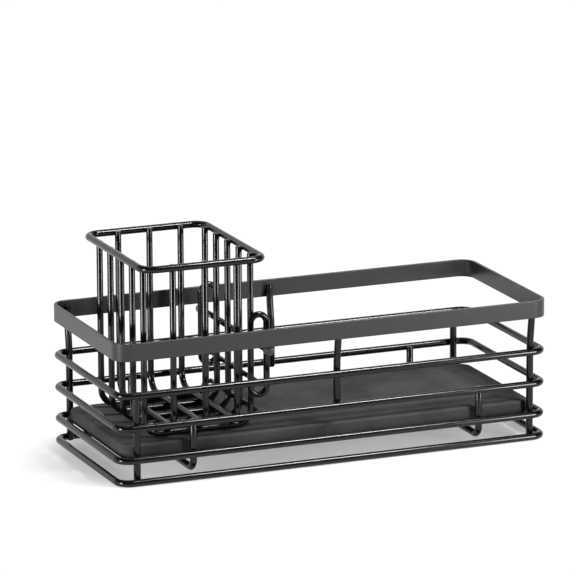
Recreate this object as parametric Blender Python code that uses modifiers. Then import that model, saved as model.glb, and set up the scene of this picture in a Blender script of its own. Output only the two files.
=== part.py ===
"""Sink caddy: a welded wire frame under a flat rim band, a drying tray, and a brush
basket that slides up and down on a cross rail.

Metres, +Z up. X runs along the caddy, Y to its back. The origin is on the worktop,
under the middle of the frame.
"""
import math

import bmesh
import bpy

# Shared
WELD_GAP = 0.0003
ARC_STEPS = 6
FRAME_SIDES = 4
BASKET_SIDES = 3

# Frame of round wire
FRAME_LENGTH = 0.325
FRAME_DEPTH = 0.136
FRAME_CORNER = 0.0115
FRAME_WIRE = 0.005
UPPER_RING_HEIGHT = 0.0644
MIDDLE_RING_HEIGHT = 0.0411
LOWER_RING_HEIGHT = 0.0185

# Rim band of flat bar
BAND_TOP = 0.1018
BAND_HEIGHT = 0.0125
BAND_THICKNESS = 0.0022
BAND_EDGE = 0.0004

# Uprights inside the rings, the long ones stepped outwards above the upper ring
POST_FOOT_GAP = 0.001
POST_TOP_INSET = 0.003
POST_STEP_CLEARANCE = 0.003
POST_STEP_HEIGHT = 0.012
SHORT_POST_INSET = 0.005
STRUT_X = 0.003
END_ROUND_SHARES = ((0.0, 0.62), (0.35, 0.9), (1.0, 1.0))

# Two wires that cradle the tray
CRADLE_LEFT_INSET = 0.058
CRADLE_RIGHT_INSET = 0.051
CRADLE_FLOOR_GAP = 0.004
CRADLE_BEND = 0.007

# Drying tray
TRAY_END_CLEARANCE = 0.0027
TRAY_SIDE_CLEARANCE = 0.0012
TRAY_CORNER = 0.010
TRAY_THICKNESS = 0.010
TRAY_EDGE = 0.0016
TRAY_FOOT_INSET = 0.017
TRAY_FOOT_DEPTH = 0.0077
TRAY_FOOT_CORNER = 0.006
TRAY_OVERRUN = 0.003

# Brush basket
BASKET_END_GAP = 0.01635
BASKET_LENGTH = 0.0943
BASKET_DEPTH = 0.121
BASKET_HEIGHT = 0.1253
BASKET_CORNER = 0.0122
BASKET_RING_WIRE = 0.005
BASKET_WIRE = 0.0045
BASKET_BEND = 0.011
U_WIRE_COUNT = 5
U_WIRE_PITCH = 0.0213
CROSS_WIRE_COUNT = 3
CROSS_WIRE_PITCH = 0.0235
CROSS_WIRE_SHIFT = 0.0017

# Cross rail and the two loops that ride on it
RAIL_WIRE = 0.0045
RAIL_CAP = 0.0065
RAIL_CAP_LENGTH = 0.0075
RAIL_CAP_INSET = 0.0008
RAIL_CLEARANCE = 0.0005
LOOP_RISE = 0.0222
LOOP_DROP = 0.0352
LOOP_SIDE_STEP = 0.0018

# Side wires that stiffen the basket between its loops
SIDE_WIRE = 0.0035
LOWER_SIDE_WIRE_DROP = 0.0026
SIDE_WIRE_SPACING = 0.0209

# Finishes: base colour, roughness, metallic
POWDER_COAT_SHARES = ((0.022, 0.022, 0.024, 1.0), 0.42, 0.0)
BAND_COAT_SHARES = ((0.040, 0.040, 0.042, 1.0), 0.5, 0.0)
TRAY_STONE_SHARES = ((0.050, 0.050, 0.054, 1.0), 0.85, 0.0)

# Sizes that follow from those above
half_facet = math.pi / (2 * FRAME_SIDES + 4)
base_ring_z = FRAME_WIRE / 2 * math.cos(half_facet)
ring_inner_y = FRAME_DEPTH / 2 - FRAME_WIRE
ring_inner_x = FRAME_LENGTH / 2 - FRAME_WIRE
post_y = ring_inner_y - WELD_GAP - FRAME_WIRE / 2
post_top_y = FRAME_DEPTH / 2 - BAND_THICKNESS - WELD_GAP - FRAME_WIRE / 2
post_step_start = UPPER_RING_HEIGHT + FRAME_WIRE / 2 + POST_STEP_CLEARANCE
post_step_end = post_step_start + POST_STEP_HEIGHT
long_post_x = FRAME_LENGTH / 2 - FRAME_CORNER
short_post_x = long_post_x - SHORT_POST_INSET
band_bottom = BAND_TOP - BAND_HEIGHT
cradle_left_x = -FRAME_LENGTH / 2 + CRADLE_LEFT_INSET
cradle_right_x = FRAME_LENGTH / 2 - CRADLE_RIGHT_INSET
cradle_run_z = CRADLE_FLOOR_GAP + FRAME_WIRE / 2
tray_foot_z = cradle_run_z + FRAME_WIRE / 2 + WELD_GAP
tray_under_z = tray_foot_z + TRAY_FOOT_DEPTH
tray_top_z = tray_under_z + TRAY_THICKNESS
tray_length = 2 * (ring_inner_x - TRAY_END_CLEARANCE)
tray_depth = 2 * (post_y - FRAME_WIRE / 2 - TRAY_SIDE_CLEARANCE)
basket_x = -ring_inner_x + BASKET_END_GAP + BASKET_LENGTH / 2
basket_ring_z = tray_top_z + BASKET_HEIGHT - BASKET_RING_WIRE / 2
basket_wire_inset = BASKET_RING_WIRE + WELD_GAP + BASKET_WIRE / 2
u_leg = BASKET_LENGTH / 2 - basket_wire_inset
cross_leg = BASKET_DEPTH / 2 - basket_wire_inset
u_floor_z = tray_top_z + WELD_GAP + BASKET_WIRE / 2
cross_floor_z = u_floor_z + BASKET_WIRE + WELD_GAP
right_leg_x = basket_x + u_leg
rail_to_leg = (RAIL_WIRE + BASKET_WIRE) / 2 + RAIL_CLEARANCE
rail_x = right_leg_x + rail_to_leg
loop_left_x = right_leg_x - LOOP_SIDE_STEP
loop_right_x = rail_x + rail_to_leg
loop_x = (loop_left_x + loop_right_x) / 2
loop_behind_wire = math.sqrt((BASKET_WIRE + WELD_GAP) ** 2 - LOOP_SIDE_STEP ** 2)
loop_y = U_WIRE_PITCH * (U_WIRE_COUNT - 1) / 2 + loop_behind_wire
rail_z = band_bottom - WELD_GAP - RAIL_CAP / 2
rail_cap_outer_y = FRAME_DEPTH / 2 - RAIL_CAP_INSET
rail_half = rail_cap_outer_y - RAIL_CAP_LENGTH - WELD_GAP
lower_side_wire_z = u_floor_z + BASKET_BEND - LOWER_SIDE_WIRE_DROP
upper_side_wire_z = lower_side_wire_z + SIDE_WIRE_SPACING
side_wire_reach = BASKET_WIRE / 2 + WELD_GAP + SIDE_WIRE / 2
upper_side_wire_x = right_leg_x + side_wire_reach
bend_reach = math.sqrt((BASKET_BEND + side_wire_reach) ** 2 - LOWER_SIDE_WIRE_DROP ** 2)
lower_side_wire_x = right_leg_x - BASKET_BEND + bend_reach
side_wire_half = loop_y - BASKET_WIRE / 2 - WELD_GAP


def clear_scene():
    for obj in list(bpy.data.objects):
        bpy.data.objects.remove(obj, do_unlink=True)


def new_collection(name):
    collection = bpy.data.collections.new(name)
    bpy.context.scene.collection.children.link(collection)
    return collection


def coat(obj, finish):
    """Give the object a material of its own."""
    colour, roughness, metallic = finish
    material = bpy.data.materials.new(obj.name + "_finish")
    material.use_nodes = True
    shader = material.node_tree.nodes["Principled BSDF"]
    shader.inputs["Base Color"].default_value = colour
    shader.inputs["Roughness"].default_value = roughness
    shader.inputs["Metallic"].default_value = metallic
    obj.data.materials.append(material)


def arc(centre, radius, start, end):
    """Points of an arc in a plane, angles in degrees."""
    points = []
    for step in range(ARC_STEPS + 1):
        angle = math.radians(start + (end - start) * step / ARC_STEPS)
        points.append((centre[0] + radius * math.cos(angle), centre[1] + radius * math.sin(angle)))
    return points


def rounded_rectangle(length, depth, corner):
    """Outline about the origin, counter-clockwise."""
    x = length / 2 - corner
    y = depth / 2 - corner
    points = arc((x, -y), corner, -90, 0)
    points += arc((x, y), corner, 0, 90)
    points += arc((-x, y), corner, 90, 180)
    points += arc((-x, -y), corner, 180, 270)
    return points


def u_outline(half_width, floor, top, bend):
    """Half-width, height pairs of a U with round bends, from one top end to the other."""
    points = [(-half_width, top)]
    points += arc((-half_width + bend, floor + bend), bend, 180, 270)
    points += arc((half_width - bend, floor + bend), bend, 270, 360)
    points.append((half_width, top))
    return points


def wire(name, points, diameter, sides, closed=False, radii=None, turn=0.0):
    """A round wire along straight runs and arcs, its facets turned about its axis."""
    curve = bpy.data.curves.new(name, "CURVE")
    curve.dimensions = "3D"
    curve.bevel_depth = diameter / 2
    curve.bevel_resolution = sides
    curve.use_fill_caps = True
    spline = curve.splines.new("POLY")
    spline.points.add(len(points) - 1)
    for index, point in enumerate(points):
        spline.points[index].co = (*point, 1)
        spline.points[index].radius = radii[index] if radii else 1
        spline.points[index].tilt = turn
    spline.use_cyclic_u = closed
    spline.use_smooth = True
    obj = bpy.data.objects.new(name, curve)
    parts.objects.link(obj)
    coat(obj, POWDER_COAT_SHARES)
    return obj


def frame_ring(name, height):
    """One closed ring of frame wire, lying flat, with a facet straight down."""
    outline = rounded_rectangle(FRAME_LENGTH - FRAME_WIRE, FRAME_DEPTH - FRAME_WIRE, FRAME_CORNER - FRAME_WIRE / 2)
    points = [(x, y, height) for x, y in outline]
    return wire(name, points, FRAME_WIRE, FRAME_SIDES, closed=True, turn=half_facet)


def upright(name, x, path):
    """A piece of frame wire with rounded ends, along y, z pairs from its foot to its top."""
    radius = FRAME_WIRE / 2
    foot_y, foot_z = path[0]
    top_y, top_z = path[-1]
    widths = [width for _, width in END_ROUND_SHARES]
    points = [(x, foot_y, foot_z + share * radius) for share, _ in END_ROUND_SHARES]
    points += [(x, y, z) for y, z in path[1:-1]]
    points += [(x, top_y, top_z - share * radius) for share, _ in reversed(END_ROUND_SHARES)]
    radii = widths + [widths[-1]] * len(path[1:-1]) + widths[::-1]
    return wire(name, points, FRAME_WIRE, FRAME_SIDES, radii=radii)


def tall_upright(name, x, side, foot):
    """An upright that steps outwards above the upper ring and ends inside the rim band."""
    bends = ((side * post_y, post_step_start), (side * post_top_y, post_step_end))
    return upright(name, x, ((side * post_y, foot), *bends, (side * post_top_y, BAND_TOP - POST_TOP_INSET)))


def short_upright(name, x, side):
    """A straight upright from the base ring to the upper ring."""
    return upright(
        name, x, ((side * post_y, POST_FOOT_GAP), (side * post_y, UPPER_RING_HEIGHT + FRAME_WIRE / 2))
    )


def flat_outline(name, outlines, bottom, height, collection):
    """A plate with the given outlines, the inner ones being holes."""
    curve = bpy.data.curves.new(name, "CURVE")
    curve.dimensions = "2D"
    curve.fill_mode = "BOTH"
    curve.extrude = height / 2
    for outline in outlines:
        spline = curve.splines.new("POLY")
        spline.points.add(len(outline) - 1)
        for index, (x, y) in enumerate(outline):
            spline.points[index].co = (x, y, 0, 1)
        spline.use_cyclic_u = True
    obj = bpy.data.objects.new(name, curve)
    obj.location.z = bottom + height / 2
    collection.objects.link(obj)
    return obj


def as_mesh(obj, collection):
    """The same shape as a welded mesh under the same name."""
    bpy.context.view_layer.update()
    evaluated = obj.evaluated_get(bpy.context.evaluated_depsgraph_get())
    mesh = bpy.data.meshes.new_from_object(evaluated)
    welded = bmesh.new()
    welded.from_mesh(mesh)
    bmesh.ops.remove_doubles(welded, verts=welded.verts, dist=WELD_GAP / 10)
    bmesh.ops.recalc_face_normals(welded, faces=welded.faces)
    welded.to_mesh(mesh)
    welded.free()
    name = obj.name
    place = obj.matrix_world.copy()
    bpy.data.objects.remove(obj, do_unlink=True)
    solid = bpy.data.objects.new(name, mesh)
    solid.matrix_world = place
    collection.objects.link(solid)
    return solid


def round_edges(obj, width, segments):
    bevel = obj.modifiers.new("rounded_edges", "BEVEL")
    bevel.width = width
    bevel.segments = segments
    bevel.limit_method = "ANGLE"
    bevel.angle_limit = math.radians(50)
    obj.data.shade_smooth()
    obj.data.set_sharp_from_angle(angle=math.radians(50))


def rim_band():
    """Flat bar bent into a loop on edge, its outer face in line with the rings'."""
    outer = rounded_rectangle(FRAME_LENGTH, FRAME_DEPTH, FRAME_CORNER)
    inner = rounded_rectangle(
        FRAME_LENGTH - 2 * BAND_THICKNESS, FRAME_DEPTH - 2 * BAND_THICKNESS, FRAME_CORNER - BAND_THICKNESS
    )
    band = as_mesh(flat_outline("rim_band", (outer, inner), band_bottom, BAND_HEIGHT, parts), parts)
    round_edges(band, BAND_EDGE, 2)
    coat(band, BAND_COAT_SHARES)


def frame_rings():
    frame_ring("ring_upper", UPPER_RING_HEIGHT)
    frame_ring("ring_middle", MIDDLE_RING_HEIGHT)
    frame_ring("ring_lower", LOWER_RING_HEIGHT)
    frame_ring("ring_base", base_ring_z)


def uprights():
    """Two long corner posts, two short ones opposite them, and a strut on each long side."""
    strut_start = MIDDLE_RING_HEIGHT - FRAME_WIRE / 2
    tall_upright("post_front_right", long_post_x, -1, POST_FOOT_GAP)
    tall_upright("post_back_left", -long_post_x, 1, POST_FOOT_GAP)
    short_upright("post_front_left", -short_post_x, -1)
    short_upright("post_back_right", short_post_x, 1)
    tall_upright("strut_front", STRUT_X, -1, strut_start)
    tall_upright("strut_back", STRUT_X, 1, strut_start)


def cradle(name, x):
    """A U of frame wire, welded inside the middle and lower rings, under the tray."""
    top = MIDDLE_RING_HEIGHT + FRAME_WIRE / 2
    outline = u_outline(post_y, cradle_run_z, top, CRADLE_BEND)
    points = [(x, y, z) for y, z in outline]
    return wire(name, points, FRAME_WIRE, FRAME_SIDES)


def drying_tray():
    """A thick slab with rounded edges, on a foot that is set in all round."""
    slab_outline = rounded_rectangle(tray_length, tray_depth, TRAY_CORNER)
    foot_outline = rounded_rectangle(
        tray_length - 2 * TRAY_FOOT_INSET, tray_depth - 2 * TRAY_FOOT_INSET, TRAY_FOOT_CORNER
    )
    slab = flat_outline("drying_tray", (slab_outline,), tray_under_z, TRAY_THICKNESS, parts)
    tray = as_mesh(slab, parts)
    foot_height = TRAY_FOOT_DEPTH + TRAY_OVERRUN
    foot = as_mesh(flat_outline("tray_foot", (foot_outline,), tray_foot_z, foot_height, cutters), cutters)
    foot.hide_render = True
    foot.display_type = "WIRE"
    union = tray.modifiers.new("foot", "BOOLEAN")
    union.operation = "UNION"
    union.object = foot
    round_edges(tray, TRAY_EDGE, 3)
    coat(tray, TRAY_STONE_SHARES)


def cross_rail():
    """A rod across the frame, held under the rim band by a fatter cap at each end."""
    ends = ((rail_x, -rail_half, rail_z), (rail_x, rail_half, rail_z))
    wire("cross_rail", ends, RAIL_WIRE, FRAME_SIDES)
    for name, side in (("rail_cap_front", -1), ("rail_cap_back", 1)):
        outer = (rail_x, side * rail_cap_outer_y, rail_z)
        inner = (rail_x, side * (rail_cap_outer_y - RAIL_CAP_LENGTH), rail_z)
        wire(name, (outer, inner), RAIL_CAP, FRAME_SIDES)


def basket_ring():
    outline = rounded_rectangle(
        BASKET_LENGTH - BASKET_RING_WIRE, BASKET_DEPTH - BASKET_RING_WIRE, BASKET_CORNER - BASKET_RING_WIRE / 2
    )
    points = [(basket_x + x, y, basket_ring_z) for x, y in outline]
    return [wire("basket_ring", points, BASKET_RING_WIRE, FRAME_SIDES, closed=True)]


def basket_u_wires():
    """Wires from side to side, which stand on the tray."""
    outline = u_outline(u_leg, u_floor_z, basket_ring_z, BASKET_BEND)
    wires = []
    for index in range(U_WIRE_COUNT):
        y = (index - (U_WIRE_COUNT - 1) / 2) * U_WIRE_PITCH
        points = [(basket_x + x, y, z) for x, z in outline]
        wires.append(wire(f"basket_u_wire_{index + 1}", points, BASKET_WIRE, BASKET_SIDES))
    return wires


def basket_cross_wires():
    """Wires from front to back, which lie on the floor of the others."""
    outline = u_outline(cross_leg, cross_floor_z, basket_ring_z, BASKET_BEND)
    wires = []
    for index in range(CROSS_WIRE_COUNT):
        x = basket_x + CROSS_WIRE_SHIFT + (index - (CROSS_WIRE_COUNT - 1) / 2) * CROSS_WIRE_PITCH
        points = [(x, y, z) for y, z in outline]
        wires.append(wire(f"basket_cross_wire_{index + 1}", points, BASKET_WIRE, BASKET_SIDES))
    return wires


def rail_loops():
    """Long upright loops, welded beside the outer U wires, with the rail through them."""
    bend = (loop_right_x - loop_left_x) / 2
    high = rail_z + LOOP_RISE - bend
    low = rail_z - LOOP_DROP + bend
    outline = arc((loop_x, high), bend, 0, 180) + arc((loop_x, low), bend, 180, 360)
    loops = []
    for name, y in (("rail_loop_front", -loop_y), ("rail_loop_back", loop_y)):
        points = [(x, y, z) for x, z in outline]
        loops.append(wire(name, points, BASKET_WIRE, BASKET_SIDES, closed=True))
    return loops


def side_wires():
    """Thin wires from one loop to the other, the lower one against the bends of the U wires."""
    wires = []
    places = (
        ("side_wire_lower", lower_side_wire_x, lower_side_wire_z),
        ("side_wire_upper", upper_side_wire_x, upper_side_wire_z),
    )
    for name, x, height in places:
        ends = ((x, -side_wire_half, height), (x, side_wire_half, height))
        wires.append(wire(name, ends, SIDE_WIRE, BASKET_SIDES))
    return wires


def brush_basket():
    """Everything that slides up together, carried by an empty where the rail meets the loops."""
    slide = bpy.data.objects.new("basket_slide", None)
    slide.location = (rail_x, 0, rail_z)
    parts.objects.link(slide)
    bpy.context.view_layer.update()
    for piece in basket_ring() + basket_u_wires() + basket_cross_wires() + rail_loops() + side_wires():
        piece.parent = slide
        piece.matrix_parent_inverse = slide.matrix_world.inverted()


clear_scene()
parts = new_collection("sink_caddy")
cutters = new_collection("cutters")
rim_band()
frame_rings()
uprights()
cradle("cradle_left", cradle_left_x)
cradle("cradle_right", cradle_right_x)
drying_tray()
cross_rail()
brush_basket()
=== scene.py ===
# %% [markdown]
# # A sink caddy of black wire
#
# The caddy is a long frame of round steel wire under a flat rim band. A stone-like
# tray lies in it, and a small square basket of wire slides up and down on a cross
# rail. This lesson gives every piece the shape and the finish that a close look shows.
#
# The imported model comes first. It is a fixed frame: nothing in it is moved or changed,
# and each new piece takes its place from a box of that model.

# %% Load the fixed frame
import math

import bmesh
import bpy
from mathutils import Matrix, Vector


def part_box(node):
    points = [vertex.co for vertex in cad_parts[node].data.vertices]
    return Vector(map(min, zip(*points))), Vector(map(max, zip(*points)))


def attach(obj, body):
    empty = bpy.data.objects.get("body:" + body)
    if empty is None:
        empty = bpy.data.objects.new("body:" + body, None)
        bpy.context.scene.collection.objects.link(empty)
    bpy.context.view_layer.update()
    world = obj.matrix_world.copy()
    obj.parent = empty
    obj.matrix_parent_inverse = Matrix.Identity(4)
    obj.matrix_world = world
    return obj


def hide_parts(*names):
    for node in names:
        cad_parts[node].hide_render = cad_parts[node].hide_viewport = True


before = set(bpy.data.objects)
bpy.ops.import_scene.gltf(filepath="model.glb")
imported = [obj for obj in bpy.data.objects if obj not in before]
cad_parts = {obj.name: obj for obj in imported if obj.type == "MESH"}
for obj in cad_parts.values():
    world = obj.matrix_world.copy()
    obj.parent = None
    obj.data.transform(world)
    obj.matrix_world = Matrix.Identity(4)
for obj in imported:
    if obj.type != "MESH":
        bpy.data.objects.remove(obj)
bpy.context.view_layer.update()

# %% [markdown]
# ## Units and small helpers
#
# Blender works in metres, and a wire product is drawn in millimetres, so one function
# turns one into the other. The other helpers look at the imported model's boxes and
# keep the selection clean: an operator acts on all that is selected, and the packed
# pieces start out selected. Sizes could be typed in metres directly, but millimetres
# are what a maker would measure, and they are easier to check.


# %% Units, boxes and the selection
def mm(length):
    """Millimetres as metres."""
    return length / 1000


def middle_of(node):
    """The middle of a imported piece's box."""
    low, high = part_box(node)
    return (low + high) / 2


def let_go():
    """Nothing selected, and no piece open for editing."""
    if bpy.context.object and bpy.context.object.mode == "EDIT":
        bpy.ops.object.mode_set(mode="OBJECT")
    bpy.ops.object.select_all(action="DESELECT")


def settle():
    """The piece's place goes into its mesh, and its object to the origin."""
    bpy.ops.object.transform_apply(location=True, rotation=True, scale=True)


def sizes_of(piece):
    """The piece's length, depth and height in millimetres."""
    return [round(side * 1000, 1) for side in piece.dimensions]


print("middle of the rim band", [round(c, 4) for c in middle_of("rim_band")])


# %% [markdown]
# ## The camera
#
# The caddy is seen from its front left corner, a little from above, through a long
# lens: its long sides hardly run together. The camera is placed by what a
# photographer would note down: where it aims, how far off it stands, its two angles
# and a slight tilt to the side. It could also be placed by a point and a target, but
# with angles each one can be changed on its own.

# %% Camera
CAMERA_AIM = Vector((mm(-4.2), mm(10.8), mm(108.8)))
CAMERA_DISTANCE = mm(3554.5)
CAMERA_AZIMUTH = math.radians(22.39)
CAMERA_ELEVATION = math.radians(13.99)
CAMERA_ROLL = math.radians(-0.25)
CAMERA_LENS = 315.1
CAMERA_SENSOR = 36
FURTHEST_SEEN = 4 * CAMERA_DISTANCE


def add_camera():
    """The camera, from its aim, its distance and its three angles."""
    data = bpy.data.cameras.new("product_camera")
    data.lens = CAMERA_LENS
    data.sensor_width = CAMERA_SENSOR
    data.clip_end = FURTHEST_SEEN
    camera = bpy.data.objects.new("product_camera", data)
    bpy.context.scene.collection.objects.link(camera)
    turn = (
        Matrix.Rotation(-CAMERA_AZIMUTH, 4, "Z")
        @ Matrix.Rotation(math.pi / 2 - CAMERA_ELEVATION, 4, "X")
        @ Matrix.Rotation(CAMERA_ROLL, 4, "Z")
    )
    back = turn @ Vector((0, 0, CAMERA_DISTANCE))
    camera.matrix_world = Matrix.Translation(CAMERA_AIM + back) @ turn
    bpy.context.scene.camera = camera
    return camera


camera = add_camera()
print("camera at", [round(c, 3) for c in camera.matrix_world.translation])

# %% [markdown]
# ## Light and floor
#
# Black coated wire shows mostly what it mirrors, so the lamps are placed for their
# reflections. A small key softbox high in front gives the level wires their light
# streak. Two low strips, left and right of the camera, draw the streaks down the
# upright wires. A wide softbox above softens the shadows. A white backdrop behind,
# that only gloss sees, lights the wires that run away from the camera. The floor looks
# white to the camera and in reflections. It fades to pure white a little way from the
# caddy, so only the shadows close to the wires stay, as in a catalogue picture. Brighter
# lamps could make the floor white too, but they would wash out the black wire.

# %% Shader helpers
def linear(hex_colour):
    """An sRGB hex value as a linear colour."""
    channels = [int(hex_colour[start:start + 2], 16) / 255 for start in (1, 3, 5)]
    return (*(c / 12.92 if c <= 0.04045 else ((c + 0.055) / 1.055) ** 2.4 for c in channels), 1)


def add_node(tree, kind, settings=None, links=None):
    """A shader node with its settings and the sockets that feed it.

    A setting goes to the socket of that name or number, or else to the node itself.
    """
    node = tree.nodes.new("ShaderNode" + kind)
    for name, value in (settings or {}).items():
        if isinstance(name, int) or name in node.inputs:
            node.inputs[name].default_value = value
        else:
            setattr(node, name, value)
    for name, socket in (links or {}).items():
        tree.links.new(socket, node.inputs[name])
    return node


def new_material(name):
    """A material with no nodes yet."""
    material = bpy.data.materials.new(name)
    material.use_nodes = True
    material.node_tree.nodes.clear()
    return material


print("middle grey as a linear value", round(linear("#808080")[0], 3))

# %% Floor
FLOOR_SIZE = 16
FLOOR_DROP = mm(0.1)
NEAR_COLOUR = "#d0d0d0"
FAR_COLOUR = "#303030"
NEAR_LIFT = 0.36
FAR_LIFT = 1.0
SHADOW_OVAL = (0.6, 1, 1)
NEAR = mm(98)
FAR = mm(130)


def pale_floor():
    """White, with a soft oval round the caddy in which its shadows show.

    In the oval much of the white is paint in the lamps' light, which a shadow darkens.
    Further off it is nearly all the floor's own glow.
    """
    material = new_material("matt_white_studio_floor")
    tree = material.node_tree
    rays = add_node(tree, "LightPath")
    place = add_node(tree, "TexCoord")
    oval = add_node(
        tree, "VectorMath", {"operation": "MULTIPLY", 1: SHADOW_OVAL},
        {0: place.outputs["Object"]},
    )
    distance = add_node(
        tree, "VectorMath", {"operation": "LENGTH"}, {"Vector": oval.outputs["Vector"]}
    )
    rim = {"interpolation_type": "SMOOTHSTEP", "From Min": NEAR, "From Max": FAR}
    sweep = add_node(
        tree, "MapRange", rim | {"To Min": NEAR_LIFT, "To Max": FAR_LIFT},
        {"Value": distance.outputs["Value"]},
    )
    shades = {"To Min": linear(NEAR_COLOUR)[0], "To Max": linear(FAR_COLOUR)[0]}
    shade = add_node(tree, "MapRange", rim | shades, {"Value": distance.outputs["Value"]})
    direct = add_node(
        tree, "Math", {"operation": "ADD"},
        {0: rays.outputs["Is Camera Ray"], 1: rays.outputs["Is Glossy Ray"]},
    )
    seen = add_node(
        tree, "Math", {"operation": "ADD", "use_clamp": True},
        {0: direct.outputs["Value"], 1: rays.outputs["Is Transmission Ray"]},
    )
    lift = add_node(
        tree, "Math", {"operation": "MULTIPLY"},
        {0: seen.outputs["Value"], 1: sweep.outputs["Result"]},
    )
    glow = add_node(tree, "Emission", links={"Strength": lift.outputs["Value"]})
    matt = add_node(tree, "BsdfDiffuse", links={"Color": shade.outputs["Result"]})
    both = add_node(
        tree, "AddShader", links={0: matt.outputs["BSDF"], 1: glow.outputs["Emission"]}
    )
    add_node(tree, "OutputMaterial", links={"Surface": both.outputs["Shader"]})
    return material


let_go()
bpy.ops.mesh.primitive_plane_add(size=FLOOR_SIZE, location=(0, 0, -FLOOR_DROP))
floor = bpy.context.object
floor.name = "studio_floor"
settle()
floor.data.materials.append(pale_floor())
print("floor", sizes_of(floor))

# %% Lamps
SOFTBOXES = (
    # name, metres that it stands to the right, degrees round from the front, degrees up,
    # distance, width, height in metres, watts
    ("key_softbox", 0.43, 0, 66, 1.15, 0.34, 0.16, 16),
    ("top_softbox", 0, 170, 62, 1.3, 1.1, 0.8, 3),
    ("left_strip", 0, -74, 6, 1.0, 0.2, 0.36, 8),
    ("right_strip", 0, 38, 6, 1.0, 0.2, 0.36, 6),
)
LAMP_AIM = Vector((0, 0, mm(60)))


def add_softbox(name, aside, right, up, distance, width, height, power):
    """An area lamp, placed by its angles from the caddy's front."""
    data = bpy.data.lights.new(name, "AREA")
    data.shape = "RECTANGLE"
    data.size = width
    data.size_y = height
    data.energy = power
    lamp = bpy.data.objects.new(name, data)
    raised = Matrix.Rotation(math.radians(-up), 4, "X")
    turned = Matrix.Rotation(math.radians(right), 4, "Z")
    offset = turned @ raised @ Vector((0, -distance, 0))
    lamp.location = LAMP_AIM + Vector((aside, 0, 0)) + offset
    lamp.rotation_euler = (-offset).to_track_quat("-Z", "Y").to_euler()
    lamp.visible_camera = False
    bpy.context.scene.collection.objects.link(lamp)


for softbox in SOFTBOXES:
    add_softbox(*softbox)
print("softboxes", [softbox[0] for softbox in SOFTBOXES])

# %% Room
ROOM_COLOUR = "#ffffff"
ROOM_STRENGTH = 0.03
# Parts of a direction that is 1 long: how far back the backdrop is full, and how far up
# it is full and has faded out.
BACKDROP_FULL = 0.5
BACKDROP_TOP = 0.34
BACKDROP_FADE = 0.62


def room_with_backdrop():
    """A dim room. The camera sees white, and gloss sees a white backdrop behind the caddy."""
    room = bpy.data.worlds.new("dim_room")
    room.use_nodes = True
    tree = room.node_tree
    tree.nodes.clear()
    rays = add_node(tree, "LightPath")
    view = add_node(tree, "TexCoord")
    towards = add_node(tree, "SeparateXYZ", links={"Vector": view.outputs["Generated"]})
    soft = {"interpolation_type": "SMOOTHSTEP"}
    behind = add_node(
        tree, "MapRange", soft | {"From Min": 0, "From Max": BACKDROP_FULL},
        {"Value": towards.outputs["Y"]},
    )
    low = add_node(
        tree, "MapRange", soft | {"From Min": BACKDROP_FADE, "From Max": BACKDROP_TOP},
        {"Value": towards.outputs["Z"]},
    )
    sheet = add_node(
        tree, "Math", {"operation": "MULTIPLY"},
        {0: behind.outputs["Result"], 1: low.outputs["Result"]},
    )
    shine = add_node(
        tree, "Math", {"operation": "ADD"},
        {0: rays.outputs["Is Glossy Ray"], 1: rays.outputs["Is Transmission Ray"]},
    )
    mirrored = add_node(
        tree, "Math", {"operation": "MULTIPLY"},
        {0: shine.outputs["Value"], 1: sheet.outputs["Value"]},
    )
    white = add_node(
        tree, "Math", {"operation": "MAXIMUM"},
        {0: rays.outputs["Is Camera Ray"], 1: mirrored.outputs["Value"]},
    )
    strength = add_node(
        tree, "Math", {"operation": "MAXIMUM", 1: ROOM_STRENGTH}, {0: white.outputs["Value"]}
    )
    glow = add_node(
        tree, "Background", {"Color": linear(ROOM_COLOUR)}, {"Strength": strength.outputs["Value"]}
    )
    add_node(tree, "OutputWorld", links={"Surface": glow.outputs["Background"]})
    return room


bpy.context.scene.world = room_with_backdrop()
bpy.context.scene.view_settings.view_transform = "Standard"
print("room", bpy.context.scene.world.name)

# %% [markdown]
# ## Finish: black powder coat
#
# Powder coat is dry paint that melts on the hot steel. It flows out to a satin skin
# with a faint orange peel, a little glossier where it ran thick. Its colour is
# nearly black. The peel's waves are 1 to 2 mm long on the real thing, and the
# softer clouds of gloss 10 to 20 mm. The flat bar of the rim gets a more matt coat
# than the wires, and so do the two caps under it. That coat is also painted greyer.
# The grey is painted sheen for the light that the bar's flat face catches, on paint
# that is as black as the wires'. A painted image could show the peel too, but noise
# in the shader has no seams and runs on round every wire.

# %% Powder coat
ORANGE_PEEL = mm(1.3)
ORANGE_PEEL_DEPTH = mm(0.004)
ORANGE_PEEL_DETAIL = 3
GLOSS_CLOUD = mm(14)
GLOSS_CLOUD_DETAIL = 2
COAT_IOR = 1.42


def powder_coat(name, thin_colour, thick_colour, glossy, dull):
    """Black paint, baked on steel. The roughness runs from glossy to dull."""
    material = new_material(name)
    tree = material.node_tree
    place = add_node(tree, "TexCoord")
    clouds = add_node(
        tree, "TexNoise", {"Scale": 1 / GLOSS_CLOUD, "Detail": GLOSS_CLOUD_DETAIL},
        {"Vector": place.outputs["Object"]},
    )
    peel = add_node(
        tree, "TexNoise", {"Scale": 1 / ORANGE_PEEL, "Detail": ORANGE_PEEL_DETAIL},
        {"Vector": place.outputs["Object"]},
    )
    colour = add_node(tree, "ValToRGB", links={"Fac": clouds.outputs["Fac"]})
    colour.color_ramp.elements[0].color = linear(thin_colour)
    colour.color_ramp.elements[1].color = linear(thick_colour)
    roughness = add_node(
        tree, "MapRange", {"To Min": glossy, "To Max": dull}, {"Value": clouds.outputs["Fac"]}
    )
    waves = add_node(
        tree, "Bump", {"Strength": 1, "Distance": ORANGE_PEEL_DEPTH},
        {"Height": peel.outputs["Fac"]},
    )
    shader = add_node(
        tree, "BsdfPrincipled", {"IOR": COAT_IOR},
        {
            "Base Color": colour.outputs["Color"],
            "Roughness": roughness.outputs["Result"],
            "Normal": waves.outputs["Normal"],
        },
    )
    add_node(tree, "OutputMaterial", links={"Surface": shader.outputs["BSDF"]})
    return material


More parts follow.
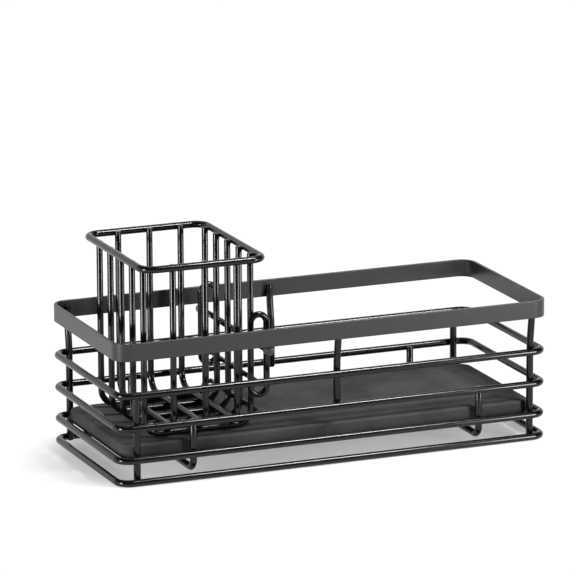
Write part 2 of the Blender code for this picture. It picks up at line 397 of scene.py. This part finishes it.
wire_coat = powder_coat(
    "satin_black_powder_coat", thin_colour="#0d0d0e", thick_colour="#09090a",
    glossy=0.13, dull=0.19
)
# Painted sheen: this coat is painted greyer than the wires' coat, standing in for the light that
# the band's flat face catches.
band_coat_painted_sheen = powder_coat(
    "matt_black_coat_painted_grey_sheen", thin_colour="#38383a", thick_colour="#323234",
    glossy=0.28, dull=0.34
)
print("coats", wire_coat.name, band_coat_painted_sheen.name)

# %% [markdown]
# ## How a wire is made
#
# A wire bender feeds straight wire and turns it round a pin. The same can be done by
# hand here: a ring of edges is drawn out along each straight run, and spun round a
# centre for each bend. A closed ring meets its own start and is merged there. An
# open wire is capped, and its two ends get the small rounding that deburring leaves.
# A curve with a round bevel makes a wire too, but here each run and each bend is one
# step, as on the bending machine, and both ends can be finished like cut steel.

# %% Wire bending
WIRE_SIDES = 28
BEND_STEPS = 10  # in a right angle


def start_wire(name, place, direction, diameter):
    """A ring of edges across the wire's start."""
    let_go()
    turn = Vector((0, 0, 1)).rotation_difference(Vector(direction)).to_euler()
    bpy.ops.mesh.primitive_circle_add(
        vertices=WIRE_SIDES, radius=diameter / 2, fill_type="NOTHING",
        location=place, rotation=turn
    )
    wire = bpy.context.object
    wire.name = name
    settle()
    bpy.ops.object.mode_set(mode="EDIT")
    bpy.ops.mesh.select_mode(type="VERT")
    bpy.ops.mesh.select_all(action="SELECT")
    return wire


def run_to(step):
    """Draws the wire's open end out in a straight line."""
    bpy.ops.mesh.extrude_region_move(TRANSFORM_OT_translate={"value": step})


def bend_round(centre, axis, degrees):
    """Turns the wire's open end round a pin, by the right-hand rule. Spin counts the other way."""
    steps = max(2, round(BEND_STEPS * degrees / 90))
    bpy.ops.mesh.spin(steps=steps, angle=-math.radians(degrees), center=centre, axis=axis)


print("a wire has", WIRE_SIDES, "sides, and a right angle", BEND_STEPS, "steps")

# %% Ends of a wire
SAME_PLACE = mm(0.01)
SHARP = math.radians(60)


def close_wire():
    """Merges the wire's end with its start."""
    bpy.ops.mesh.select_all(action="SELECT")
    bpy.ops.mesh.remove_doubles(threshold=SAME_PLACE)
    bpy.ops.mesh.normals_make_consistent(inside=False)
    bpy.ops.object.mode_set(mode="OBJECT")


def cap_wire(rounding, segments):
    """Closes both ends and rounds their rims."""
    bpy.ops.mesh.select_all(action="SELECT")
    bpy.ops.mesh.fill_holes(sides=0)
    bpy.ops.mesh.select_all(action="SELECT")
    bpy.ops.mesh.normals_make_consistent(inside=False)
    bpy.ops.mesh.select_mode(type="EDGE")
    bpy.ops.mesh.select_all(action="DESELECT")
    bpy.ops.mesh.edges_select_sharp(sharpness=SHARP)
    bpy.ops.mesh.bevel(offset=rounding, segments=segments, affect="EDGES")
    bpy.ops.object.mode_set(mode="OBJECT")


print("points nearer than", SAME_PLACE * 1000, "mm are merged")

# %% Finish of a piece
SMOOTH_BELOW = math.radians(40)


def dress(piece, material, body, slot, *nodes):
    """Finish, smooth shading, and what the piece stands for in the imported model."""
    let_go()
    piece.select_set(True)
    bpy.context.view_layer.objects.active = piece
    bpy.ops.object.shade_smooth_by_angle(angle=SMOOTH_BELOW)
    piece.data.materials.clear()
    piece.data.materials.append(material)
    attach(piece, body)
    if nodes:
        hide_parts(*nodes)
    check = bmesh.new()
    check.from_mesh(piece.data)
    loose = sum(not edge.is_manifold for edge in check.edges)
    print(piece.name, sizes_of(piece), "faces", len(check.faces), "volume cm3",
          round(check.calc_volume(signed=True) * 1e6, 2), "open edges", loose)
    check.free()


print("edges flatter than", round(math.degrees(SMOOTH_BELOW)), "degrees are shaded smooth")

# %% [markdown]
# ## The four frame rings
#
# Each ring is one wire bent at four corners and butt-welded. All four have the same
# plan, flush with the rim band outside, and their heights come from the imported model.
# One ring could be copied three times, but a function that bends one serves the
# basket's ring as well.

# %% Frame rings
FRAME_WIRE = mm(5)
FRAME_CORNER = mm(11.5)
WELD_GAP = mm(0.3)
RIM_LOW, RIM_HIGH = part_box("rim_band")
HALF_LENGTH = RIM_HIGH.x
HALF_DEPTH = RIM_HIGH.y


def bent_ring(name, centre, half_x, half_y, corner, diameter):
    """A closed wire round a rectangle, measured to the wire's middle."""
    run_x = half_x - corner
    run_y = half_y - corner
    x, y, z = centre
    up = (0, 0, 1)
    wire = start_wire(name, (x + run_x, y - half_y, z), (1, 0, 0), diameter)
    bend_round((x + run_x, y - run_y, z), up, 90)
    run_to((0, 2 * run_y, 0))
    bend_round((x + run_x, y + run_y, z), up, 90)
    run_to((-2 * run_x, 0, 0))
    bend_round((x - run_x, y + run_y, z), up, 90)
    run_to((0, -2 * run_y, 0))
    bend_round((x - run_x, y - run_y, z), up, 90)
    run_to((2 * run_x, 0, 0))
    close_wire()
    return wire


ring_heights = {}
for node in ("ring_upper", "ring_middle", "ring_lower", "ring_base"):
    ring_heights[node] = max(middle_of(node).z, FRAME_WIRE / 2)
    ring = bent_ring(
        node + "_wire", (0, 0, ring_heights[node]), HALF_LENGTH - FRAME_WIRE / 2,
        HALF_DEPTH - FRAME_WIRE / 2, FRAME_CORNER - FRAME_WIRE / 2, FRAME_WIRE
    )
    dress(ring, wire_coat, "frame", "frame_wire", node)

# %% [markdown]
# ## Posts and struts
#
# The uprights are cut lengths of the same wire, welded inside the rings, with their
# ends rounded over so that they don't scratch. The short posts stop at the upper ring.
# The long posts and the struts go on to the rim band. The band is much thinner than
# the rings' wire and flush with them outside, so above the upper ring a press sets
# these wires outwards in a shallow S until they lie against the band. The S could be
# made by moving the top of a straight wire, but that would flatten its round section,
# so it is bent there and back instead.

# %% Posts and struts
POST_ROUNDING = mm(1.5)
END_DROP = mm(1.4)
STEP_START = ring_heights["ring_upper"]
STEP_END = middle_of("rim_band").z
STEP_HEIGHT = STEP_END - STEP_START
STRAIGHT_BELOW = FRAME_WIRE / 4
UPRIGHTS = (
    "post_front_right", "post_back_left", "post_front_left", "post_back_right",
    "strut_front", "strut_back",
)
post_y = HALF_DEPTH - FRAME_WIRE - WELD_GAP - FRAME_WIRE / 2


def side_of(node):
    """-1 at the front of the caddy and 1 at its back."""
    return math.copysign(1, middle_of(node).y)


def step_outwards(place, side, offset):
    """Two equal bends, there and back, that move the wire's open end outwards."""
    x, y, z = place
    half_turn = math.atan2(offset, STEP_HEIGHT)
    radius = STEP_HEIGHT / 2 / math.sin(2 * half_turn)
    turn = math.degrees(2 * half_turn)
    bend_round((x, y + side * radius, z), (-side, 0, 0), turn)
    bend_round((x, y + side * (offset - radius), z + STEP_HEIGHT), (side, 0, 0), turn)


for node in UPRIGHTS:
    low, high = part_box(node)
    side = side_of(node)
    foot = Vector((middle_of(node).x, side * post_y, low.z))
    upright = start_wire(node + "_wire", foot, (0, 0, 1), FRAME_WIRE)
    offset = max(abs(low.y), abs(high.y)) - FRAME_WIRE / 2 - post_y
    if offset > STRAIGHT_BELOW:
        run_to((0, 0, STEP_START - low.z))
        step_outwards((foot.x, foot.y, STEP_START), side, offset)
        run_to((0, 0, high.z - STEP_END))
    else:
        run_to((0, 0, high.z - END_DROP - low.z))
    cap_wire(POST_ROUNDING, segments=4)
    dress(upright, wire_coat, "frame", "frame_wire", node)

# %% [markdown]
# ## Cradle wires
#
# Two U-shaped wires hang from the middle ring and carry the tray. The same function
# makes them and the basket's wires: down, round the bend, across, round, and up. Half
# of the U could be mirrored instead, but the bender makes it in one go, and so does this.

# %% U-shaped wires
CUT_ROUNDING = mm(0.4)
CRADLE_BEND = mm(7)


def bent_u(name, left_top, across, floor, bend, diameter, rise=0):
    """A U from its left top end. Across leads to the other leg, which ends higher by rise."""
    start = Vector(left_top)
    across = Vector(across)
    along = across.normalized()
    drop = start.z - floor - bend
    leg_foot = start - Vector((0, 0, drop))
    pin = Vector((0, 0, -1)).cross(along)
    wire = start_wire(name, start, (0, 0, -1), diameter)
    run_to((0, 0, -drop))
    bend_round(leg_foot + along * bend, pin, 90)
    run_to(along * (across.length - 2 * bend))
    bend_round(leg_foot + along * (across.length - bend), pin, 90)
    run_to((0, 0, drop + rise))
    cap_wire(CUT_ROUNDING, segments=2)
    return wire


cradle_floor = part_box("cradle_left")[0].z + FRAME_WIRE / 2
for node in ("cradle_left", "cradle_right"):
    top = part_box(node)[1].z - END_DROP
    front_top = (middle_of(node).x, -post_y, top)
    cradle = bent_u(
        node + "_wire", front_top, (0, 2 * post_y, 0), cradle_floor, CRADLE_BEND, FRAME_WIRE
    )
    dress(cradle, wire_coat, "frame", "frame_wire", node)

# %% [markdown]
# ## Rim band
#
# Flat steel bar, bent on edge into a loop. A block gets its four upright edges
# rounded, loses its top and bottom, and the wall that is left gets the bar's
# thickness. Last, all long edges are eased: that thin easing catches the light and
# draws the bright line along the rim. Two blocks cut from each other would give the
# same wall, but a wall with a thickness can be changed with one number.

# %% Rounded blocks
CORNER_STEPS = 12
ALIGNED = 0.99  # the cosine of about 8 degrees


def select_where(piece, kind, wanted):
    """Selects the open piece's edges or faces for which wanted is true, and nothing else."""
    bpy.ops.mesh.select_all(action="DESELECT")
    bpy.ops.mesh.select_mode(type=kind)
    mesh = bmesh.from_edit_mesh(piece.data)
    for element in mesh.edges if kind == "EDGE" else mesh.faces:
        if wanted(element):
            element.select_set(True)
    bmesh.update_edit_mesh(piece.data)


def is_upright(edge):
    run = edge.verts[1].co - edge.verts[0].co
    return abs(run.z) > ALIGNED * run.length


def faces_up_or_down(face):
    return abs(face.normal.z) > ALIGNED


def rounded_block(name, low, high, corner):
    """A block with its four upright edges rounded, left open for editing."""
    let_go()
    low, high = Vector(low), Vector(high)
    bpy.ops.mesh.primitive_cube_add(size=1, location=(low + high) / 2, scale=high - low)
    block = bpy.context.object
    block.name = name
    settle()
    bpy.ops.object.mode_set(mode="EDIT")
    select_where(block, "EDGE", is_upright)
    bpy.ops.mesh.bevel(offset=corner, segments=CORNER_STEPS, affect="EDGES")
    return block


print("a round corner has", CORNER_STEPS, "steps")

# %% Eased edges
EASE_ABOVE = math.radians(50)


def apply_bevel(piece, width, segments):
    """Eases every edge sharper than the bends."""
    bevel = piece.modifiers.new("easing", "BEVEL")
    bevel.width = width
    bevel.segments = segments
    bevel.limit_method = "ANGLE"
    bevel.angle_limit = EASE_ABOVE
    bpy.ops.object.modifier_apply(modifier=bevel.name)


def keep_flats_flat(piece):
    """Shades the large faces flat, so that only the eased edges round off."""
    weighted = piece.modifiers.new("flats", "WEIGHTED_NORMAL")
    weighted.keep_sharp = True
    bpy.ops.object.modifier_apply(modifier=weighted.name)


print("edges sharper than", round(math.degrees(EASE_ABOVE)), "degrees are eased")

# %% Rim band
BAND_THICKNESS = mm(2.2)
BAND_EASING = mm(0.5)

band = rounded_block("rim_band_bar", RIM_LOW, RIM_HIGH, FRAME_CORNER)
select_where(band, "FACE", faces_up_or_down)
bpy.ops.mesh.delete(type="FACE")
bpy.ops.object.mode_set(mode="OBJECT")
wall = band.modifiers.new("bar", "SOLIDIFY")
wall.thickness = BAND_THICKNESS
wall.offset = -1
wall.use_even_offset = True
bpy.ops.object.modifier_apply(modifier=wall.name)
apply_bevel(band, BAND_EASING, segments=3)
dress(band, band_coat_painted_sheen, "frame", "rim_band", "rim_band")
keep_flats_flat(band)

# %% [markdown]
# ## Cross rail
#
# A rod across the frame, just under the rim band. The basket's loops ride on it. A
# fatter cap on each end is fixed under the band and has the band's matt coat, with the
# same painted grey sheen. Each is a straight wire, drawn out once: a cylinder would do,
# but it would still need its ends rounded, which the wire's own step already does.

# %% Cross rail and caps
RAIL_WIRE = mm(4.5)
RAIL_CAP = mm(6.5)
CAP_ROUNDING = mm(0.9)

for node, diameter, rounding, coat in (
    ("cross_rail", RAIL_WIRE, CUT_ROUNDING, wire_coat),
    ("rail_cap_front", RAIL_CAP, CAP_ROUNDING, band_coat_painted_sheen),
    ("rail_cap_back", RAIL_CAP, CAP_ROUNDING, band_coat_painted_sheen),
):
    low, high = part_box(node)
    place = middle_of(node)
    rod = start_wire(node + "_rod", (place.x, low.y, place.z), (0, 1, 0), diameter)
    run_to((0, high.y - low.y, 0))
    cap_wire(rounding, segments=3)
    dress(rod, coat, "frame", "rail", node)

# %% [markdown]
# ## Finish of the tray
#
# The tray is pressed from fine mineral powder and left matt, so it drinks up drips.
# It looks dark grey with soft clouds a few centimetres across and a fine grain. The
# grain of the real one is under 0.3 mm; here it is drawn at 0.7 mm so that it shows.
# Three noises of different sizes make it: clouds and mottle for the colour, and grain
# for the pits. One noise with more detail would be quicker, but its sizes would be tied.

# %% Pressed mineral
STONE_CLOUD = mm(38)
STONE_MOTTLE = mm(7)
STONE_GRAIN = mm(0.7)
STONE_GRAIN_DEPTH = mm(0.05)
CLOUD_DETAIL, MOTTLE_DETAIL, GRAIN_DETAIL = 3, 5, 2
MOTTLE_SHARE = 0.35
DARK_STONE, DARK_STONE_AT = "#38383a", 0.45
PALE_STONE, PALE_STONE_AT = "#4f4f51", 0.9
SMOOTHEST_STONE, ROUGHEST_STONE = 0.8, 0.95
STONE_IOR = 1.2  # low, because a dusty face has hardly any gloss


def pressed_mineral():
    """Matt, dark, slightly mottled, like a fine unglazed tile."""
    material = new_material("pressed_mineral_board")
    tree = material.node_tree
    place = add_node(tree, "TexCoord")
    clouds = add_node(
        tree, "TexNoise", {"Scale": 1 / STONE_CLOUD, "Detail": CLOUD_DETAIL},
        {"Vector": place.outputs["Object"]},
    )
    mottle = add_node(
        tree, "TexNoise", {"Scale": 1 / STONE_MOTTLE, "Detail": MOTTLE_DETAIL},
        {"Vector": place.outputs["Object"]},
    )
    grain = add_node(
        tree, "TexNoise", {"Scale": 1 / STONE_GRAIN, "Detail": GRAIN_DETAIL},
        {"Vector": place.outputs["Object"]},
    )
    both = add_node(
        tree, "Math", {"operation": "MULTIPLY_ADD", 1: MOTTLE_SHARE},
        {0: mottle.outputs["Fac"], 2: clouds.outputs["Fac"]},
    )
    colour = add_node(tree, "ValToRGB", links={"Fac": both.outputs["Value"]})
    colour.color_ramp.elements[0].position = DARK_STONE_AT
    colour.color_ramp.elements[0].color = linear(DARK_STONE)
    colour.color_ramp.elements[1].position = PALE_STONE_AT
    colour.color_ramp.elements[1].color = linear(PALE_STONE)
    roughness = add_node(
        tree, "MapRange", {"To Min": SMOOTHEST_STONE, "To Max": ROUGHEST_STONE},
        {"Value": mottle.outputs["Fac"]},
    )
    pits = add_node(
        tree, "Bump", {"Strength": 1, "Distance": STONE_GRAIN_DEPTH},
        {"Height": grain.outputs["Fac"]},
    )
    shader = add_node(
        tree, "BsdfPrincipled", {"IOR": STONE_IOR},
        {
            "Base Color": colour.outputs["Color"],
            "Roughness": roughness.outputs["Result"],
            "Normal": pits.outputs["Normal"],
        },
    )
    add_node(tree, "OutputMaterial", links={"Surface": shader.outputs["BSDF"]})
    return material


mineral = pressed_mineral()
print("tray finish", mineral.name)

# %% [markdown]
# ## Drying tray
#
# A thick slab with round corners and soft rims. Below it, a foot that is set in all
# round stands on the two cradle wires. Slab and foot are two rounded blocks, joined
# by a Boolean so that they become one pressed body. The underside could be inset and
# extruded instead, but an inset deeper than the corners' radius folds over itself.

# %% Drying tray
TRAY_CORNER = mm(10)
TRAY_THICKNESS = mm(10)
TRAY_EASING = mm(2)
FOOT_INSET = mm(17)
FOOT_CORNER = mm(6)
FOOT_OVERLAP = mm(3)

tray_low, tray_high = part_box("drying_tray")
tray_under = tray_high.z - TRAY_THICKNESS
slab_low = (tray_low.x, tray_low.y, tray_under)
tray = rounded_block("drying_tray_slab", slab_low, tray_high, TRAY_CORNER)
bpy.ops.object.mode_set(mode="OBJECT")
foot_low = (tray_low.x + FOOT_INSET, tray_low.y + FOOT_INSET, tray_low.z)
foot_high = (tray_high.x - FOOT_INSET, tray_high.y - FOOT_INSET, tray_under + FOOT_OVERLAP)
foot = rounded_block("tray_foot", foot_low, foot_high, FOOT_CORNER)
let_go()
tray.select_set(True)
bpy.context.view_layer.objects.active = tray
union = tray.modifiers.new("foot", "BOOLEAN")
union.operation = "UNION"
union.object = foot
bpy.ops.object.modifier_apply(modifier=union.name)
bpy.data.objects.remove(foot, do_unlink=True)
apply_bevel(tray, TRAY_EASING, segments=4)
dress(tray, mineral, "frame", "tray", "drying_tray")
keep_flats_flat(tray)

# %% [markdown]
# ## Basket
#
# Five U-shaped wires run from side to side and stand on the tray. Three more cross
# them from front to back. Their ends stand just inside a square ring, are cut flat
# and stay under its top, so that no end can scratch a hand. The left ends are cut a
# little lower than the others. The wires could be one woven net, but on the real
# basket each is bent on its own and welded, and so it is here. All of it rides on the
# basket's body.

# %% Basket ring
BASKET_WIRE = mm(4.5)
BASKET_RING_WIRE = mm(5)
BASKET_CORNER = mm(12.2)
BASKET_BEND = mm(11)
END_RISE = mm(1.2)
U_WIRES = [f"basket_u_wire_{number}" for number in range(1, 6)]
CROSS_WIRES = [f"basket_cross_wire_{number}" for number in range(1, 4)]

basket_low, basket_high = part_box("basket_ring")
basket = (basket_low + basket_high) / 2
half_ring = (basket_high - basket_low) / 2
half_wire = BASKET_RING_WIRE / 2
square = bent_ring(
    "basket_ring_wire", basket, half_ring.x - half_wire, half_ring.y - half_wire,
    BASKET_CORNER - half_wire, BASKET_RING_WIRE
)
dress(square, wire_coat, "basket", "basket_wire", "basket_ring")

# %% Basket wires
leg_inset = BASKET_RING_WIRE + WELD_GAP + BASKET_WIRE / 2
u_leg = half_ring.x - leg_inset
cross_leg = half_ring.y - leg_inset
u_floor = tray_high.z + WELD_GAP + BASKET_WIRE / 2
cross_floor = u_floor + BASKET_WIRE + WELD_GAP
for node in U_WIRES:
    left_top = (basket.x - u_leg, middle_of(node).y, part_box(node)[1].z - END_DROP)
    wire = bent_u(
        node + "_bent", left_top, (2 * u_leg, 0, 0), u_floor, BASKET_BEND, BASKET_WIRE,
        rise=END_DROP + END_RISE
    )
    dress(wire, wire_coat, "basket", "basket_wire", node)
for node in CROSS_WIRES:
    front_top = (middle_of(node).x, -cross_leg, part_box(node)[1].z + END_RISE)
    wire = bent_u(
        node + "_bent", front_top, (0, 2 * cross_leg, 0), cross_floor, BASKET_BEND, BASKET_WIRE
    )
    dress(wire, wire_coat, "basket", "basket_wire", node)

# %% [markdown]
# ## Loops and side wires
#
# A long closed loop is welded beside the first and the last U wire, and the cross
# rail runs through both. Two thin wires join the U wires on that side and stop the
# lift when the upper one meets the rail. A stretched torus would squash the wire at
# the loop's ends, so the loop is bent: up, half round, down, half round.

# %% Loops
LOOP_WIDTH = mm(11.8)

for node in ("rail_loop_front", "rail_loop_back"):
    low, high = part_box(node)
    place = middle_of(node)
    bend = LOOP_WIDTH / 2
    run = (high.z - low.z - BASKET_WIRE) / 2 - bend
    across = (0, -1, 0)
    right_foot = (place.x + bend, place.y, place.z - run)
    loop = start_wire(node + "_bent", right_foot, (0, 0, 1), BASKET_WIRE)
    run_to((0, 0, 2 * run))
    bend_round((place.x, place.y, place.z + run), across, 180)
    run_to((0, 0, -2 * run))
    bend_round((place.x, place.y, place.z - run), across, 180)
    close_wire()
    dress(loop, wire_coat, "basket", "basket_wire", node)

# %% Side wires
SIDE_WIRE = mm(3.5)

for node in ("side_wire_lower", "side_wire_upper"):
    low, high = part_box(node)
    place = middle_of(node)
    wire = start_wire(node + "_rod", (place.x, low.y, place.z), (0, 1, 0), SIDE_WIRE)
    run_to((0, high.y - low.y, 0))
    cap_wire(CUT_ROUNDING, segments=2)
    dress(wire, wire_coat, "basket", "basket_wire", node)

# %% [markdown]
# ## Welds
#
# Where two wires cross, a spot weld melts them together, and the powder coat runs
# into the crevice. A small flattened bead fills that crevice. One bead of each kind
# is made and copied to its places, and the beads of one kind are one piece. Where
# wires lie side by side the bead is long. The wires could also be joined and their
# seams bevelled, but that tears up clean bends, and a bead in the crevice looks the same.

# %% Weld beads
BEAD_REACH = mm(1.5)
BEAD_DEPTH = mm(0.7)
LONG_BEAD = mm(3)
BEAD_SIDES = 16
BEAD_RINGS = 8


def weld_beads(name, radii, places, body, slot):
    """One rounded bead, copied to each place."""
    let_go()
    bpy.ops.mesh.primitive_uv_sphere_add(
        segments=BEAD_SIDES, ring_count=BEAD_RINGS, radius=1, location=places[0], scale=radii
    )
    beads = bpy.context.object
    beads.name = name
    settle()
    bpy.ops.object.mode_set(mode="EDIT")
    bpy.ops.mesh.select_all(action="SELECT")
    for last, place in zip(places, places[1:]):
        bpy.ops.mesh.duplicate_move(TRANSFORM_OT_translate={"value": Vector(place) - Vector(last)})
    bpy.ops.object.mode_set(mode="OBJECT")
    dress(beads, wire_coat, body, slot)


print("a bead reaches", BEAD_REACH * 1000, "mm and is", BEAD_DEPTH * 1000, "mm deep")

# %% Weld beads of the frame
weld_y = HALF_DEPTH - FRAME_WIRE - WELD_GAP / 2
band_weld_y = HALF_DEPTH - BAND_THICKNESS - WELD_GAP / 2
ring_welds = []
band_welds = []
for node in UPRIGHTS + ("cradle_left", "cradle_right"):
    low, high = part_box(node)
    sides = (-1, 1) if node.startswith("cradle") else (side_of(node),)
    for side in sides:
        for height in ring_heights.values():
            if low.z < height < high.z:
                ring_welds.append((middle_of(node).x, side * weld_y, height))
        if high.z > RIM_LOW.z:
            height = (RIM_LOW.z + high.z) / 2
            band_welds.append((middle_of(node).x, side * band_weld_y, height))
weld_beads("ring_welds", (BEAD_REACH, BEAD_DEPTH, BEAD_REACH), ring_welds, "frame", "frame_wire")
weld_beads("band_welds", (BEAD_REACH, BEAD_DEPTH, LONG_BEAD), band_welds, "frame", "frame_wire")

cap_weld_y = HALF_DEPTH - BAND_THICKNESS
cap_welds = [
    (middle_of(node).x, side_of(node) * cap_weld_y, RIM_LOW.z - WELD_GAP / 2)
    for node in ("rail_cap_front", "rail_cap_back")
]
weld_beads("cap_welds", (BEAD_REACH, BEAD_REACH, BEAD_DEPTH), cap_welds, "frame", "rail")

# %% Weld beads of the basket
END_WELD_DROP = mm(0.4)
LOW_END_WELD_DROP = mm(2)

to_crevice = (BASKET_WIRE + WELD_GAP) / 2
side_welds = [
    (basket.x + side * (u_leg + to_crevice), middle_of(node).y, basket.z - drop)
    for node in U_WIRES for side, drop in ((-1, LOW_END_WELD_DROP), (1, END_WELD_DROP))
]
side_welds += [
    (basket.x + u_leg + to_crevice, middle_of(node).y, middle_of(rod).z)
    for node in U_WIRES for rod in ("side_wire_lower", "side_wire_upper")
]
weld_beads("side_welds", (BEAD_DEPTH, BEAD_REACH, BEAD_REACH), side_welds, "basket", "basket_wire")

end_welds = [
    (middle_of(node).x, side * (cross_leg + to_crevice), basket.z - END_WELD_DROP)
    for node in CROSS_WIRES for side in (-1, 1)
]
weld_beads("end_welds", (BEAD_REACH, BEAD_DEPTH, BEAD_REACH), end_welds, "basket", "basket_wire")

floor_welds = [
    (middle_of(cross).x, middle_of(node).y, (u_floor + cross_floor) / 2)
    for cross in CROSS_WIRES for node in U_WIRES
]
floor_bead = (BEAD_REACH, BEAD_REACH, BEAD_DEPTH)
weld_beads("floor_welds", floor_bead, floor_welds, "basket", "basket_wire")

# %% Weld beads of the loops
LOOP_WELD_INSET = mm(9)

loop_welds = []
for loop, node in (("rail_loop_front", U_WIRES[0]), ("rail_loop_back", U_WIRES[-1])):
    low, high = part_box(loop)
    left_leg = Vector((middle_of(loop).x - LOOP_WIDTH / 2, middle_of(loop).y, 0))
    u_wire_leg = Vector((basket.x + u_leg, middle_of(node).y, 0))
    touch = (left_leg + u_wire_leg) / 2
    heights = (low.z + LOOP_WELD_INSET, high.z - LOOP_WELD_INSET)
    loop_welds += [(touch.x, touch.y, height) for height in heights]
weld_beads("loop_welds", (BEAD_REACH, BEAD_DEPTH, LONG_BEAD), loop_welds, "basket", "basket_wire")
